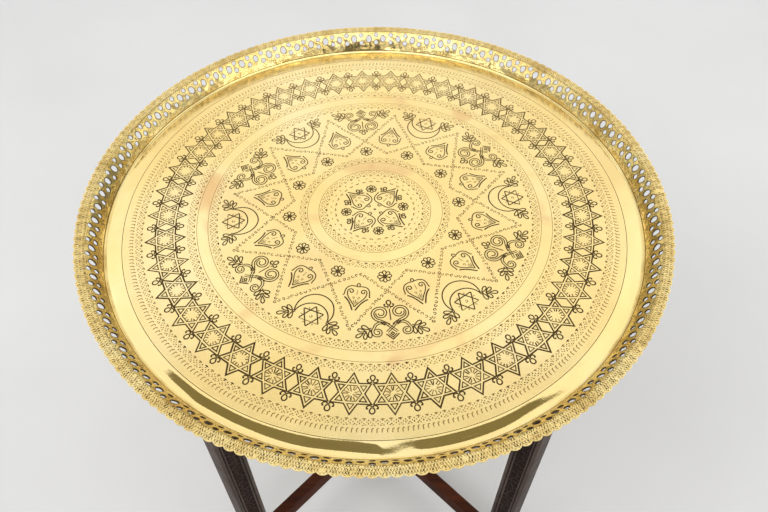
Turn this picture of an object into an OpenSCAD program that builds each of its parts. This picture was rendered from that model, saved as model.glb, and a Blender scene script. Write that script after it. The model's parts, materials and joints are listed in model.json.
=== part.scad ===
// Brass tray table: a pierced and engraved brass tray that lifts off a folding X stand.
// The stand is two wooden frames, one nested in the other, pivoting about one upright axis.
// Units are millimetres, +Z is up, and the origin is on the ground under the pivot axis.

/* [Tray] */
// Outer diameter of the tray, over the scalloped edge
tray_d = 610; // [560:5:680]
// Diameter of the flat floor of the tray
floor_d = 562; // [530:2:566]
// Height of the gallery, from the floor to the flange
gallery_h = 22.5; // [18:0.5:30]
// Width of the flat flange at the top of the gallery
flange_w = 10.5; // [8:0.5:14]
// Thickness of the brass sheet
sheet_t = 1.5; // [1.2:0.1:2.5]
// Scallops around the outer edge
scallop_count = 192; // [120:4:220]
// Radius of one scallop
scallop_r = 6.5; // [6:0.5:9]

/* [Gallery piercing] */
// Groups of holes around the gallery, each one large hole and a pair of small ones
pierce_count = 96; // [60:4:100]
// Diameter of the large holes
pierce_large_d = 7.6; // [5:0.2:8]
// Diameter of the small holes
pierce_small_d = 5.2; // [4:0.2:6]

/* [Stand] */
// Height of the stand, from the ground to the tops of the legs
stand_h = 585; // [480:5:620]
// Distance from the pivot axis to the outer edge of a leg
leg_reach = 262; // [235:1:266]
// Width of a leg, measured out from the pivot axis
leg_w = 31; // [26:1:36]
// Thickness of a leg, across its frame
leg_t = 24; // [20:1:28]
// Thickness of a rail or stretcher, across its frame
rail_t = 15; // [12:1:18]
// Height of a rail or stretcher
rail_h = 30; // [24:1:34]
// Height of the underside of the lower stretcher above the ground
stretcher_z = 32; // [24:1:60]
// Drop from the tops of the legs to the top of the upper rail
rail_drop = 6; // [5:1:12]

/* [Carving] */
// Width of the sunk panel that carries the carving, along the leg's width
panel_w = 14; // [10:1:16]
// Depth of the sunk panel
panel_depth = 1.5; // [0.5:0.5:2]
// Width of the groove on each side of the panel
groove_w = 1.6; // [1:0.2:2]
// Width of the bead between the panel and its groove
bead_w = 2.4; // [1.6:0.2:3]
// Plain length at each end of a leg, where the rails are joined in
plain_end = 102; // [100:1:130]

/* [Joinery] */
// Length of the tenons at the ends of the rails
tenon_l = 20; // [14:1:24]
// Thickness of the tenons
tenon_t = 8; // [6:0.5:10]
// Height of the tenons
tenon_h = 20; // [14:1:24]
// Diameter of the pegs through the tenons
peg_d = 6; // [5:0.5:7]

/* [Pivot] */
// Diameter of the pivot bolts
bolt_d = 8; // [6:1:10]
// Diameter of the domed bolt heads
head_d = 20; // [16:1:22]
// Height of the domed bolt heads
head_h = 4; // [3:0.5:4.5]
// Outer diameter of the washers
washer_d = 22; // [18:1:24]
// Thickness of the washers
washer_t = 1.5; // [1:0.5:2]
// Width of the nuts across their flats
nut_w = 13; // [12:0.5:17]
// Thickness of the nuts
nut_h = 6; // [5:0.5:8]

/* [Hidden] */
$fn = 96;

brass = "goldenrod";
dark_wood = [0.16, 0.11, 0.09];
red_wood = [0.27, 0.13, 0.09];
peg_wood = [0.22, 0.13, 0.09];

// Directions in which the two frames lie, measured from +X
inner_dir = 45;
outer_dir = 135;

// Air left between pieces of the two frames, under the tray, and round a bolt in its running bore
end_play = 0.3;
rest_gap = 0.2;
running_gap = 0.06;
cut = 1;

floor_r = floor_d / 2;
tray_r = tray_d / 2;
flange_r = tray_r - flange_w;
wall_run = flange_r - floor_r;
wall_len = norm([wall_run, gallery_h]);
wall_tilt = atan2(gallery_h, wall_run);
sheet_shift = sheet_t * tan(wall_tilt / 2);
floor_top = stand_h + rest_gap + sheet_t;
pierce_pitch = 360 / pierce_count;
large_at = 0.60 * wall_len;
upper_at = 0.80 * wall_len;
lower_at = 0.38 * wall_len;

leg_inner = leg_reach - leg_w;
leg_mid = leg_reach - leg_w / 2;
rail_stack = rail_h + washer_t + end_play;
inner_stretcher_z = stretcher_z + rail_stack;
outer_rail_z = stand_h - rail_drop - rail_h;
inner_rail_z = outer_rail_z - rail_stack;
running_bore = bolt_d + 2 * running_gap;

// The tray's profile from the axis outwards, on the top of the sheet and back on its underside
tray_profile = [
    [0, 0],
    [floor_r, 0],
    [flange_r, gallery_h],
    [tray_r + cut, gallery_h],
    [tray_r + cut, gallery_h - sheet_t],
    [flange_r + sheet_shift, gallery_h - sheet_t],
    [floor_r + sheet_shift, -sheet_t],
    [0, -sheet_t]
];

module scalloped_disc() {
    lobe_centre = tray_r - scallop_r;
    circle(r = lobe_centre, $fn = 360);
    for (i = [0 : scallop_count - 1])
        rotate((i + 0.5) * 360 / scallop_count)
            translate([lobe_centre, 0])
                circle(r = scallop_r, $fn = 48);
}

// A straight hole through the sloping wall, at a distance up the wall from the floor
module wall_hole(angle, along, diameter) {
    rotate(angle)
        translate([floor_r + along * cos(wall_tilt), 0, along * sin(wall_tilt)])
            rotate([0, -wall_tilt, 0])
                cylinder(h = 6 * sheet_t, d = diameter, center = true, $fn = 32);
}

module tray() {
    color(brass)
        translate([0, 0, floor_top])
            difference() {
                intersection() {
                    rotate_extrude($fn = 360)
                        polygon(tray_profile);
                    translate([0, 0, -sheet_t - cut])
                        linear_extrude(gallery_h + sheet_t + 2 * cut)
                            scalloped_disc();
                }
                for (i = [0 : pierce_count - 1]) {
                    wall_hole(i * pierce_pitch, large_at, pierce_large_d);
                    wall_hole((i + 0.5) * pierce_pitch, upper_at, pierce_small_d);
                    wall_hole((i + 0.5) * pierce_pitch, lower_at, pierce_small_d);
                }
            }
}

// Sunk panel and its two grooves on one flat face of a leg, from y = leg_t / 2 inwards
module carving_recess() {
    field_h = stand_h - 2 * plain_end;
    groove_at = panel_w / 2 + bead_w;
    translate([leg_mid - panel_w / 2, leg_t / 2 - panel_depth, plain_end])
        cube([panel_w, panel_depth + cut, field_h]);
    for (side = [-1, 1])
        translate([leg_mid + side * (groove_at + groove_w / 2), leg_t / 2, stand_h / 2])
            cube([groove_w, 2 * panel_depth, field_h], center = true);
}

module mortise(z) {
    translate([leg_inner - cut, -tenon_t / 2, z + (rail_h - tenon_h) / 2])
        cube([tenon_l + cut, tenon_t, tenon_h]);
}

module peg_bore(z) {
    translate([leg_inner + tenon_l / 2, 0, z + rail_h / 2])
        rotate([90, 0, 0])
            cylinder(h = leg_t + 2 * cut, d = peg_d, center = true);
}

// One leg standing on +X; the two heights are the undersides of its rails
module leg(top_rail_z, low_rail_z) {
    color(dark_wood)
        difference() {
            translate([leg_inner, -leg_t / 2, 0])
                cube([leg_w, leg_t, stand_h]);
            carving_recess();
            mirror([0, 1, 0])
                carving_recess();
            for (z = [top_rail_z, low_rail_z]) {
                mortise(z);
                peg_bore(z);
            }
        }
}

// One rail along X with a tenon at each end and an upright bore at the pivot axis
module rail(z, bore_d) {
    color(red_wood)
        translate([0, 0, z + rail_h / 2])
            difference() {
                union() {
                    cube([2 * leg_inner, rail_t, rail_h], center = true);
                    cube([2 * (leg_inner + tenon_l), tenon_t, tenon_h], center = true);
                }
                cylinder(h = rail_h + 2 * cut, d = bore_d, center = true);
                for (side = [-1, 1])
                    translate([side * (leg_inner + tenon_l / 2), 0, 0])
                        rotate([90, 0, 0])
                            cylinder(h = rail_t, d = peg_d, center = true);
            }
}

// Four pegs, one through each joint of a frame that lies along X
module pegs(top_rail_z, low_rail_z) {
    color(peg_wood)
        for (side = [-1, 1], z = [top_rail_z, low_rail_z])
            translate([side * (leg_inner + tenon_l / 2), 0, z + rail_h / 2])
                rotate([90, 0, 0])
                    cylinder(h = leg_t, d = peg_d, center = true);
}

module washer(z) {
    color(brass)
        translate([0, 0, z])
            difference() {
                cylinder(h = washer_t, d = washer_d);
                translate([0, 0, -cut])
                    cylinder(h = washer_t + 2 * cut, d = running_bore);
            }
}

module nut(z) {
    color(brass)
        translate([0, 0, z])
            difference() {
                cylinder(h = nut_h, d = nut_w / cos(30), $fn = 6);
                translate([0, 0, -cut])
                    cylinder(h = nut_h + 2 * cut, d = bolt_d);
            }
}

// A bolt whose domed head sits at head_z and whose shank ends at tip_z below it
module pivot_bolt(head_z, tip_z) {
    dome_r = (pow(head_d / 2, 2) + pow(head_h, 2)) / (2 * head_h);
    color(brass) {
        translate([0, 0, tip_z])
            cylinder(h = head_z - tip_z, d = bolt_d);
        translate([0, 0, head_z])
            intersection() {
                cylinder(h = head_h, d = head_d);
                translate([0, 0, head_h - dome_r])
                    sphere(r = dome_r);
            }
    }
}

// The inner frame's rails lie between the outer frame's rails
module inner_leg(turn) {
    rotate(inner_dir + turn)
        leg(inner_rail_z, inner_stretcher_z);
}

module outer_leg(turn) {
    rotate(outer_dir + turn)
        leg(outer_rail_z, stretcher_z);
}

module leg_front_left() { inner_leg(180); }
module leg_back_right() { inner_leg(0); }
module leg_front_right() { outer_leg(180); }
module leg_back_left() { outer_leg(0); }

module inner_top_rail() { rotate(inner_dir) rail(inner_rail_z, bolt_d); }
module inner_stretcher() { rotate(inner_dir) rail(inner_stretcher_z, bolt_d); }
module outer_top_rail() { rotate(outer_dir) rail(outer_rail_z, running_bore); }
module outer_stretcher() { rotate(outer_dir) rail(stretcher_z, running_bore); }
module inner_frame_pegs() { rotate(inner_dir) pegs(inner_rail_z, inner_stretcher_z); }
module outer_frame_pegs() { rotate(outer_dir) pegs(outer_rail_z, stretcher_z); }

// Upper pivot: the head bears on the outer rail and the nut draws up under the inner rail
top_nut_z = inner_rail_z - washer_t - nut_h;
module top_pivot_bolt() { pivot_bolt(outer_rail_z + rail_h + end_play, top_nut_z - 2); }
module top_spacer_washer() { washer(inner_rail_z + rail_h); }
module top_nut_washer() { washer(inner_rail_z - washer_t); }
module top_pivot_nut() { nut(top_nut_z); }

// Lower pivot: the same bolt turned over, its head under the outer stretcher
bottom_nut_z = inner_stretcher_z + rail_h + washer_t;
module bottom_pivot_bolt() {
    mirror([0, 0, 1])
        pivot_bolt(end_play - stretcher_z, -(bottom_nut_z + nut_h + 2));
}
module bottom_spacer_washer() { washer(inner_stretcher_z - washer_t); }
module bottom_nut_washer() { washer(inner_stretcher_z + rail_h); }
module bottom_pivot_nut() { nut(bottom_nut_z); }

tray();
leg_front_left();
leg_back_right();
leg_front_right();
leg_back_left();
inner_top_rail();
inner_stretcher();
outer_top_rail();
outer_stretcher();
inner_frame_pegs();
outer_frame_pegs();
top_pivot_bolt();
top_spacer_washer();
top_nut_washer();
top_pivot_nut();
bottom_pivot_bolt();
bottom_spacer_washer();
bottom_nut_washer();
bottom_pivot_nut();
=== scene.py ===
"""The looks of a brass tray table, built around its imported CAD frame.

The tray is drawn flat in millimetres, grooves and holes included, triangulated, and then shaped.
"""
import json
import math
import random

import bmesh
import bpy
import numpy as np
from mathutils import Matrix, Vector, noise
from mathutils.geometry import delaunay_2d_cdt
from mathutils.kdtree import KDTree


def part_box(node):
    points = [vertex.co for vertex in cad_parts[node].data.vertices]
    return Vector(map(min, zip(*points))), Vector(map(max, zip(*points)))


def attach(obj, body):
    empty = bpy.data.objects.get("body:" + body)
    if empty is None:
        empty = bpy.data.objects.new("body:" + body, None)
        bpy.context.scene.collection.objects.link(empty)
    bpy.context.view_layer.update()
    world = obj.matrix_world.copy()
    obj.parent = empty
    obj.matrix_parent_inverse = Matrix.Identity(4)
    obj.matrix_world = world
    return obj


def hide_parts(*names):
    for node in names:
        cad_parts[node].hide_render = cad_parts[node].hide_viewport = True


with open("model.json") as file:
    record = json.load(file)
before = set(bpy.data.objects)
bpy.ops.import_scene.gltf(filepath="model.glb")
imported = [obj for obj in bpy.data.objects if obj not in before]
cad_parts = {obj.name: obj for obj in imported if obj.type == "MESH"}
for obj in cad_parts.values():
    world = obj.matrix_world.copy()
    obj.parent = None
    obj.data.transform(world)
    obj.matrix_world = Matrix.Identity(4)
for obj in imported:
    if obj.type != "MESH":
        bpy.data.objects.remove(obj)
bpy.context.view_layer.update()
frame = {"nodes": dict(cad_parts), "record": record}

MM = 0.001
TAU = 2 * math.pi

# ---- sizes, in millimetres
tray_low, tray_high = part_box("tray")
SHEET = 1.5  # thickness of the brass sheet
FLOOR_Z = tray_low.z / MM + SHEET  # top of the tray's floor
GALLERY_H = tray_high.z / MM - FLOOR_Z  # rise from the floor to the flange
R_OUT = tray_high.x / MM - 0.15  # over the scallops, just inside the CAD tray's
FLOOR_R = 281.0  # of the flat floor
FLANGE_R = 294.5  # where the flange begins
SCALLOPS_PER_GROUP = 2
GROUPS = 96  # groups of holes around the gallery

# Radii of the rings that divide the floor
R_MEDALLION = 59.7
R_RING_1 = 72.0
R_FIELD = 176.5
R_RING_2 = 188.0
R_THIN_LINE = 263.8

STARS = 40
FIRST_STAR = -86.6  # azimuths, in degrees
FIRST_HEART = -99.5

# Hand work is uneven: every random draw comes from this seeded source, and every shift of
# a stroke from noise that would otherwise take its seed from the clock
rng = random.Random(7)
noise.seed_set(7)


# ---- small helpers
def link(obj):
    bpy.context.scene.collection.objects.link(obj)
    return obj


def mesh_object(name, verts, faces, smooth=True):
    """A mesh object from points in millimetres."""
    mesh = bpy.data.meshes.new(name)
    mesh.from_pydata((np.asarray(verts, float) * MM).tolist(), [], faces)
    mesh.validate()
    mesh.update()
    if smooth:
        mesh.polygons.foreach_set("use_smooth", [True] * len(mesh.polygons))
    return link(bpy.data.objects.new(name, mesh))


def lerp(a, b, t):
    return a + (b - a) * t


def clamp(*values):
    """The least of some values, held between 0 and 1."""
    return max(0.0, min(1.0, *values))


def bumps(x, y, z):
    """Smooth noise, about -1 to 1."""
    return noise.noise(Vector((x, y, z)))


def tree_of(points):
    """A search tree of flat points."""
    tree = KDTree(len(points))
    for i, (x, y, *_) in enumerate(points):
        tree.insert((x, y, 0), i)
    tree.balance()
    return tree


def ease(t):
    """A smooth step from 0 to 1."""
    t = clamp(t)
    return t * t * (3 - 2 * t)


def steady(t, soft=0.14):
    """A step from 0 to 1 at one steady slope, rounded off at both ends."""
    t = clamp(t)
    if t < soft:
        return t * t / (2 * soft * (1 - soft))
    if t > 1 - soft:
        return 1 - (1 - t) ** 2 / (2 * soft * (1 - soft))
    return (t - soft / 2) / (1 - soft)


def bezier(p0, p1, p2, p3, steps):
    """Points along one cubic curve, both ends included."""
    t = np.linspace(0, 1, steps + 1)[:, None]
    p0, p1, p2, p3 = (np.array(p, float) for p in (p0, p1, p2, p3))
    s = 1 - t
    return s ** 3 * p0 + 3 * s * s * t * p1 + 3 * s * t * t * p2 + t ** 3 * p3


def arc(cx, cy, radius, start, end, steps):
    """Points on a circular arc, angles in degrees."""
    a = np.radians(np.linspace(start, end, steps + 1))
    return np.stack([cx + radius * np.cos(a), cy + radius * np.sin(a)], 1)


def oval(cx, cy, half_w, half_h, steps=10):
    a = np.linspace(0, TAU, steps, endpoint=False)
    return np.stack([cx + half_w * np.cos(a), cy + half_h * np.sin(a)], 1)


def polar(radius, degrees):
    a = math.radians(degrees)
    return np.array([radius * math.cos(a), radius * math.sin(a)])


def turned(points, degrees, shift=(0, 0)):
    a = math.radians(degrees)
    c, s = math.cos(a), math.sin(a)
    return np.asarray(points, float) @ np.array([[c, s], [-s, c]]) + np.array(shift, float)


# ---- strokes
# A stroke is (points, width, depth, closed, tone). Motifs are lists of strokes in their own
# millimetres, with +y pointing out from the middle of the tray and +x to the right of that.
DEEP = 0
FINE = 1


def line(points, width=0.8, depth=0.3, closed=False, tone=DEEP):
    return (np.asarray(points, float), width, depth, closed, tone)


def both_sides(points, **style):
    return [line(points, **style), line(np.asarray(points, float) * [-1, 1], **style)]


def moved(strokes, degrees=0, shift=(0, 0), scale=1.0):
    return [(turned(p * scale, degrees, shift), w, d, c, t) for p, w, d, c, t in strokes]


def ribbon(points, gap, **style):
    """Two parallel strokes either side of a path."""
    p = np.asarray(points, float)
    n = path_normals(p, False)
    return [line(p + n * gap / 2, **style), line(p - n * gap / 2, **style)]


def unit(vectors, least=1e-9):
    return vectors / np.maximum(np.linalg.norm(vectors, axis=1), least)[:, None]


def path_normals(p, closed):
    """Left-hand normals at the points of a path, lengthened at corners to keep its width."""
    if closed:
        before = p - np.roll(p, 1, 0)
        after = np.roll(p, -1, 0) - p
    else:
        step = np.diff(p, axis=0)
        before = np.vstack([step[:1], step])
        after = np.vstack([step, step[-1:]])
    n1, n2 = (np.stack([-v[:, 1], v[:, 0]], 1) for v in (unit(before), unit(after)))
    n = unit(n1 + n2, 1e-6)
    lengthen = 1 / np.maximum((n * n1).sum(1), 0.45)[:, None]
    return n * lengthen


# ---- motifs
def petal(length, width, start=0.2, steps=10):
    """A closed drop, pointed at its inner end and round at its outer end, along +y."""
    u = np.linspace(0, TAU, steps, endpoint=False)
    grow = (1 - np.cos(u)) / 2
    y = length * (start + (1 - start) * grow)
    x = width / 2 * np.sin(u) * grow ** 0.6 * 1.25
    return np.stack([x, y], 1)


def rosette(radius=7.0):
    leaf = petal(radius, radius * 0.56, 0.14)
    return [line(turned(leaf, 45 * k + rng.uniform(-3, 3)), 0.8, 0.3, True) for k in range(8)]


def spiral(cx, cy, radius, start, turns, steps=14, inner=0.22):
    """A curl that winds inwards; negative turns wind clockwise."""
    t = np.linspace(0, 1, steps + 1)
    a = math.radians(start) + TAU * turns * t
    r = radius * (1 - (1 - inner) * t ** 0.85)
    return np.stack([cx + r * np.cos(a), cy + r * np.sin(a)], 1)


def heart():
    """A heart with its point outwards, a bud at its foot and two scrolls inside."""
    guard = bezier((1.3, 16.4), (3.6, 11.0), (6.6, 4.6), (11.9, 1.2), 7)
    lobe = np.vstack([bezier((13.6, -0.7), (11.0, -0.8), (13.6, -6.0), (10.6, -10.0), 5)[:-1],
                      bezier((10.6, -10.0), (8.4, -13.4), (3.6, -12.9), (1.3, -12.5), 5)])
    scroll = np.vstack([bezier((0, 12.6), (2.0, 6.6), (9.7, 2.0), (9.6, -4.8), 6)[:-1],
                        spiral(6.1, -6.0, 3.6, 15, -1.2, 12)])
    out = both_sides(guard, width=1.1, depth=0.36)
    out += both_sides(lobe, width=0.85, depth=0.3)
    out += both_sides(scroll, width=0.82, depth=0.26)
    out += both_sides(spiral(2.9, 1.2, 1.7, 80, 1.0, 7), width=0.5, depth=0.18, tone=FINE)
    out += both_sides([(1.1, 8.4), (2.2, 4.2)], width=0.6, depth=0.2, tone=FINE)
    out.append(line([(0, 9.6), (0, 3.2)], 0.6, 0.2))
    out.append(line([(0, -2.0), (0, -8.6)], 0.5, 0.18, tone=FINE))
    out.append(line(oval(0, -14.2, 1.5, 2.1), 0.8, 0.3, True))
    return out


def palmette():
    """A leaf of five rounded leaflets on one stem, along +y from its foot at the origin."""
    leaflet = petal(8.6, 3.9, 0.02, 10)
    out = both_sides([(0.9, -0.6), (1.2, 2.0)], width=0.9, depth=0.3)
    for height, angle, size in ((1.8, 60, 1.0), (5.6, 47, 0.96)):
        for side in (-1, 1):
            leaf = turned(leaflet * size, side * angle, (-0.2 * side, height))
            out.append(line(leaf, 0.9, 0.32, True))
    out.append(line(leaflet + [0, 8.6], 0.9, 0.32, True))
    return out


def hexagram_points(radius):
    """The twelve corners of a six-pointed star with one point along +y."""
    inner = radius / math.sqrt(3)
    return np.array([polar(inner if k % 2 else radius, 90 + 30 * k) for k in range(12)])


def crescent():
    """A crescent open outwards, a palmette on each horn and a small star inside."""
    out = [line(arc(0, 0, 19, 155, 385, 24), 0.95, 0.34),
           line(arc(0, 9.1, 17.24, 183.7, 356.3, 18), 0.95, 0.34)]
    star = hexagram_points(12.2)
    for tri in (star[0::4], star[2::4]):
        for k in range(3):
            a, b = tri[k], tri[(k + 1) % 3]
            weak = abs(a[1] - b[1]) < 1 and a[1] > 0
            out.append(line([a + (0, 6.9), b + (0, 6.9)], 0.55 if weak else 0.95, 0.3))
    out.append(line(arc(0, 7.0, 1.3, 0, 300, 6), 0.6, 0.22, False, FINE))
    for k in range(6):
        mark = arc(0, 0, 1.0, 60 * k + 120, 60 * k + 300, 4) + [0, 6.9]
        mark += turned([(0, 9.6)], 60 * k + 30)
        out.append(line(mark, 0.55, 0.2, False, FINE))
    out += moved(palmette(), 58, (-17.2, 7.6))
    out += moved(palmette(), -58, (17.2, 7.6))
    return out


def knot():
    """Two large scrolls over a bud, a crossed square band and a palmette on each side."""
    out = []
    scroll = np.vstack([bezier((1.9, 3.8), (5.0, 1.2), (9.0, -1.4), (13.4, -3.4), 5)[:-1],
                        spiral(9.2, -10.6, 8.3, 60, -1.2, 24, 0.34)])
    curl = np.vstack([bezier((5.0, 3.0), (8.2, -1.0), (13.8, -0.8), (17.6, 6.0), 5)[:-1],
                      spiral(13.9, 10.6, 5.3, -48, 1.0, 14, 0.36)])
    for side in (1, -1):
        flip = np.array([side, 1])
        out += ribbon(scroll * flip, 2.5, width=0.85, depth=0.3)
        out += ribbon(curl * flip, 2.2, width=0.8, depth=0.3)
        out += ribbon(np.array([(5.2, 11.6), (0.2, 6.8), (-4.4, 2.2)]) * flip, 2.0,
                      width=0.7, depth=0.26)
        out += moved(palmette(), 64 * side, (-19.4 * side, 6.2))
    out.append(line([(-6.4, 13.0), (0, 19.4), (6.4, 13.0)], 0.95, 0.34))
    out.append(line([(-4.0, 13.0), (0, 17.0), (4.0, 13.0)], 0.8, 0.3))
    out.append(line(oval(0, 13.0, 1.6, 1.6, 4), 0.9, 0.3, True))
    out.append(line([(0, -1.5), (0, -15.0)], 0.85, 0.3))
    out += moved(bud_sprig(), 180, (0, -17.8), 0.9)
    return out


def bud_sprig():
    """A round bud between two curls, pointing along +y from its foot at the origin."""
    cup = oval(0, 5.0, 2.35, 2.7, 12)
    out = [line(cup + np.outer(cup[:, 1] < 3, (0, -0.5)), 1.0, 0.34, True)]
    curl = np.vstack([bezier((0.2, 1.2), (1.4, -1.2), (4.4, -1.2), (5.1, 1.6), 5)[:-1],
                      bezier((5.1, 1.6), (5.3, 3.0), (4.1, 3.4), (3.6, 2.3), 3)])
    out += both_sides(curl, width=1.05, depth=0.34)
    out += both_sides([(0.9, -1.2), (1.6, -3.0)], width=0.8, depth=0.24)
    return out


def crossing(turn_a, far_a, turn_b, far_b):
    """Where two straight lines meet, each given by its normal in degrees and its distance."""
    return np.linalg.solve([polar(1, turn_a), polar(1, turn_b)], (far_a, far_b))


def big_star(reach):
    """A star of two crossing triangular bands, with rays about `reach` long round its middle."""
    radius, band = 20.3, 2.45
    out = [line(hexagram_points(radius), rng.uniform(1.25, 1.8), 0.4, True)]
    edge, inner = radius / 2, radius / 2 - band
    hexagon = []
    for k in range(6):
        at = 90 + 60 * k
        sides = ((at - 60, inner, at + 60, inner), (at - 60, inner, at, edge + 0.1),
                 (at + 60, inner, at, edge + 0.1))
        small = [crossing(*args) for args in sides]
        out.append(line(small, rng.uniform(0.85, 1.3), 0.3, True))
        hexagon.append(crossing(at, inner, at + 60, inner))
    out.append(line(hexagon, 0.9, 0.28, True))
    for k in range(13):
        at = 360 * k / 13 + rng.uniform(-6, 6)
        start = 7.5 / math.cos(math.radians((at + 30) % 60 - 30))
        ray = turned([(0, start), (0, start - reach * rng.uniform(0.75, 1.15))], at)
        tone = FINE if rng.random() < 0.5 else DEEP
        out.append(line(ray, rng.uniform(0.85, 1.35), 0.26, False, tone))
    return out


# ---- laying the motifs out
def with_short_ends(p):
    """Adds a point near each end of a path, so that only its ends taper."""
    first, last = p[1] - p[0], p[-1] - p[-2]
    a = min(0.3, 1.0 / max(np.linalg.norm(first), 1e-6))
    b = min(0.3, 1.0 / max(np.linalg.norm(last), 1e-6))
    return np.vstack([p[:1], p[0] + first * a, p[1:-1], p[-1] - last * b, p[-1:]])


class Drawing:
    """Strokes and dashes gathered for one flat sheet."""

    def __init__(self):
        self.points = []
        self.edges = []
        self.samples = []

    def add_path(self, p, closed):
        start = len(self.points)
        self.points.extend(map(tuple, p))
        count = len(p)
        self.edges.extend((start + i, start + i + 1) for i in range(count - 1))
        if closed:
            self.edges.append((start + count - 1, start))
        return start, start + count - 1

    def sample(self, p, half, depth, closed, tone):
        """Notes the half width, depth and tone at points along a path."""
        q = np.vstack([p, p[:1]]) if closed else p
        h = np.append(half, half[0]) if closed else half
        for i in range(len(q) - 1):
            length = np.linalg.norm(q[i + 1] - q[i])
            n = max(1, int(length / 0.25))
            for j in range(n + (i == len(q) - 2)):
                t = j / n
                hw = lerp(h[i], h[i + 1], t)
                x, y = lerp(q[i], q[i + 1], t)
                self.samples.append((x, y, hw, depth * hw / max(half.max(), 1e-6), tone))

    def stroke(self, item):
        p, width, depth, closed, tone = item
        if not closed:
            p = with_short_ends(p)
        half = np.full(len(p), width / 2)
        if not closed:
            half[[0, -1]] *= 0.25
        n = path_normals(p, closed) * half[:, None]
        l0, l1 = self.add_path(p + n, closed)
        r0, r1 = self.add_path(p - n, closed)
        c0, c1 = self.add_path(p, closed)
        if not closed:
            self.edges += [(l0, c0), (c0, r0), (l1, c1), (c1, r1)]
        self.sample(p, half, depth, closed, tone)

    def dash(self, a, b, width, depth, tone=FINE):
        """One short chisel cut, pointed at both ends."""
        a, b = np.asarray(a, float), np.asarray(b, float)
        mid = (a + b) / 2
        d = (b - a) / max(np.linalg.norm(b - a), 1e-6)
        side = np.array([-d[1], d[0]]) * width / 2
        start = len(self.points)
        self.points.extend(map(tuple, (a, mid + side, b, mid - side, mid)))
        self.edges += [(start + i, start + j)
                       for i, j in ((0, 1), (1, 2), (2, 3), (3, 0), (0, 4), (4, 2))]
        p = np.array([a, mid, b])
        self.sample(p, np.array([0.02, width / 2, 0.02]), depth, False, tone)

    def triangles(self, loops=(), loose=()):
        """Triangulates the drawing, the loops and the loose points, out to their convex outline.

        Returns points, triangles, depth of each point and tone of each triangle (-1 is plain).
        """
        for loop in loops:
            self.add_path(np.asarray(loop, float), True)
        verts = [Vector(p) for p in self.points] + [Vector(p) for p in loose]
        out = delaunay_2d_cdt(verts, self.edges, [], 0, 1e-3, False)
        points = np.array([tuple(v) for v in out[0]])
        faces = np.array([f for f in out[2]])
        depth, tone = self.classify(points, faces)
        return points, faces, depth, tone

    def classify(self, points, faces):
        """The depth of each point and the tone of each triangle, from the nearest sample."""
        depth = np.zeros(len(points))
        tone = np.full(len(faces), -1)
        if not self.samples:
            return depth, tone
        tree = tree_of(self.samples)
        for i, (x, y) in enumerate(points):
            _, k, dist = tree.find((x, y, 0))
            _, _, half, deep, _ = self.samples[k]
            if dist < half * 0.97:
                depth[i] = deep * (1 - dist / half)
        centres = points[faces].mean(1)
        for i, (x, y) in enumerate(centres):
            _, k, dist = tree.find((x, y, 0))
            if dist < self.samples[k][2] * 0.99:
                tone[i] = self.samples[k][4]
        return depth, tone


def wrap(p, radius, azimuth):
    """Bends a motif's own plane round the tray: x runs along the circle, y outwards."""
    r = radius + p[:, 1]
    a = math.radians(azimuth) - p[:, 0] / radius
    return np.stack([r * np.cos(a), r * np.sin(a)], 1)


def unsteady(p, amount=0.35):
    """Shifts points a little, smoothly, as a hand does."""
    shifts = [noise.noise_vector(Vector((x * 0.09, y * 0.09, 3.7)))[:2] for x, y in p]
    return p + np.array(shifts) * amount


def place(drawing, strokes, radius, azimuth, turn=0, scale=1.0, bend=False, weight=1.38):
    """Cuts a motif into the floor, bent round the tray or left straight."""
    for p, w, d, c, t in moved(strokes, turn, (0, 0), scale):
        if bend:
            q = wrap(p, radius, azimuth)
        else:
            q = turned(p, azimuth - 90, polar(radius, azimuth))
        drawing.stroke((unsteady(q), w * weight, d, c, t))


def beads(drawing, start, end, radius=1.3, pitch=4.3):
    """A chain of small punched rings along a straight line."""
    start, end = np.array(start), np.array(end)
    count = int(np.linalg.norm(end - start) / pitch)
    for k in range(count + 1):
        x, y = lerp(start, end, k / count)
        open_at = rng.uniform(0, 360)
        ring = arc(x + rng.uniform(-0.3, 0.3), y + rng.uniform(-0.3, 0.3), radius,
                   open_at, open_at + rng.uniform(250, 320), 7)
        drawing.stroke(line(ring, 0.85, 0.24, False, DEEP if rng.random() < 0.4 else FINE))


def hatch_band(drawing, inner, outer, pitch=8.4):
    """A band of plain crosses left standing between short punched cuts."""
    middle = (inner + outer) / 2
    h = (outer - inner) / 2
    count = int(TAU * middle / pitch)
    p = TAU * middle / count / 2
    cuts = [((-0.62, -0.80), (0.62, -0.80), 1.7), ((-0.28, -0.44), (0.28, -0.44), 1.3),
            ((-0.56, 0.84), (-0.10, 0.84), 1.4), ((0.12, 0.84), (0.58, 0.84), 1.4),
            ((-0.26, 0.46), (0.26, 0.46), 1.3), ((1.0, 0.72), (1.0, 0.10), 1.4),
            ((1.0, -0.10), (1.0, -0.72), 1.4), ((0.56, 0.26), (0.56, -0.26), 1.1),
            ((1.44, 0.26), (1.44, -0.26), 1.1)]
    for k in range(count):
        at = 360 * k / count
        heavy = bumps(*polar(5, at), middle) > 0.0
        for a, b, width in cuts:
            ends = np.array([(a[0] * p, a[1] * h), (b[0] * p, b[1] * h)])
            ends += (rng.uniform(-0.3, 0.3), rng.uniform(-0.25, 0.25))
            q = wrap(ends, middle, at)
            tone = DEEP if heavy and rng.random() < 0.4 else FINE
            drawing.dash(q[0], q[1], width * rng.uniform(0.8, 1.1), 0.24, tone)


def ring_line(drawing, radius, width=0.5, depth=0.16, tone=FINE, segments=220):
    drawing.stroke(line(oval(0, 0, radius, radius, segments), width, depth, True, tone))


def stepped_off(even):
    """Where a repeat falls round the band: stepped off by hand, so crowded on one side."""
    a = math.radians(even)
    return even + 2.16 * math.cos(a) - 0.61 * math.sin(2 * a)


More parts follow.
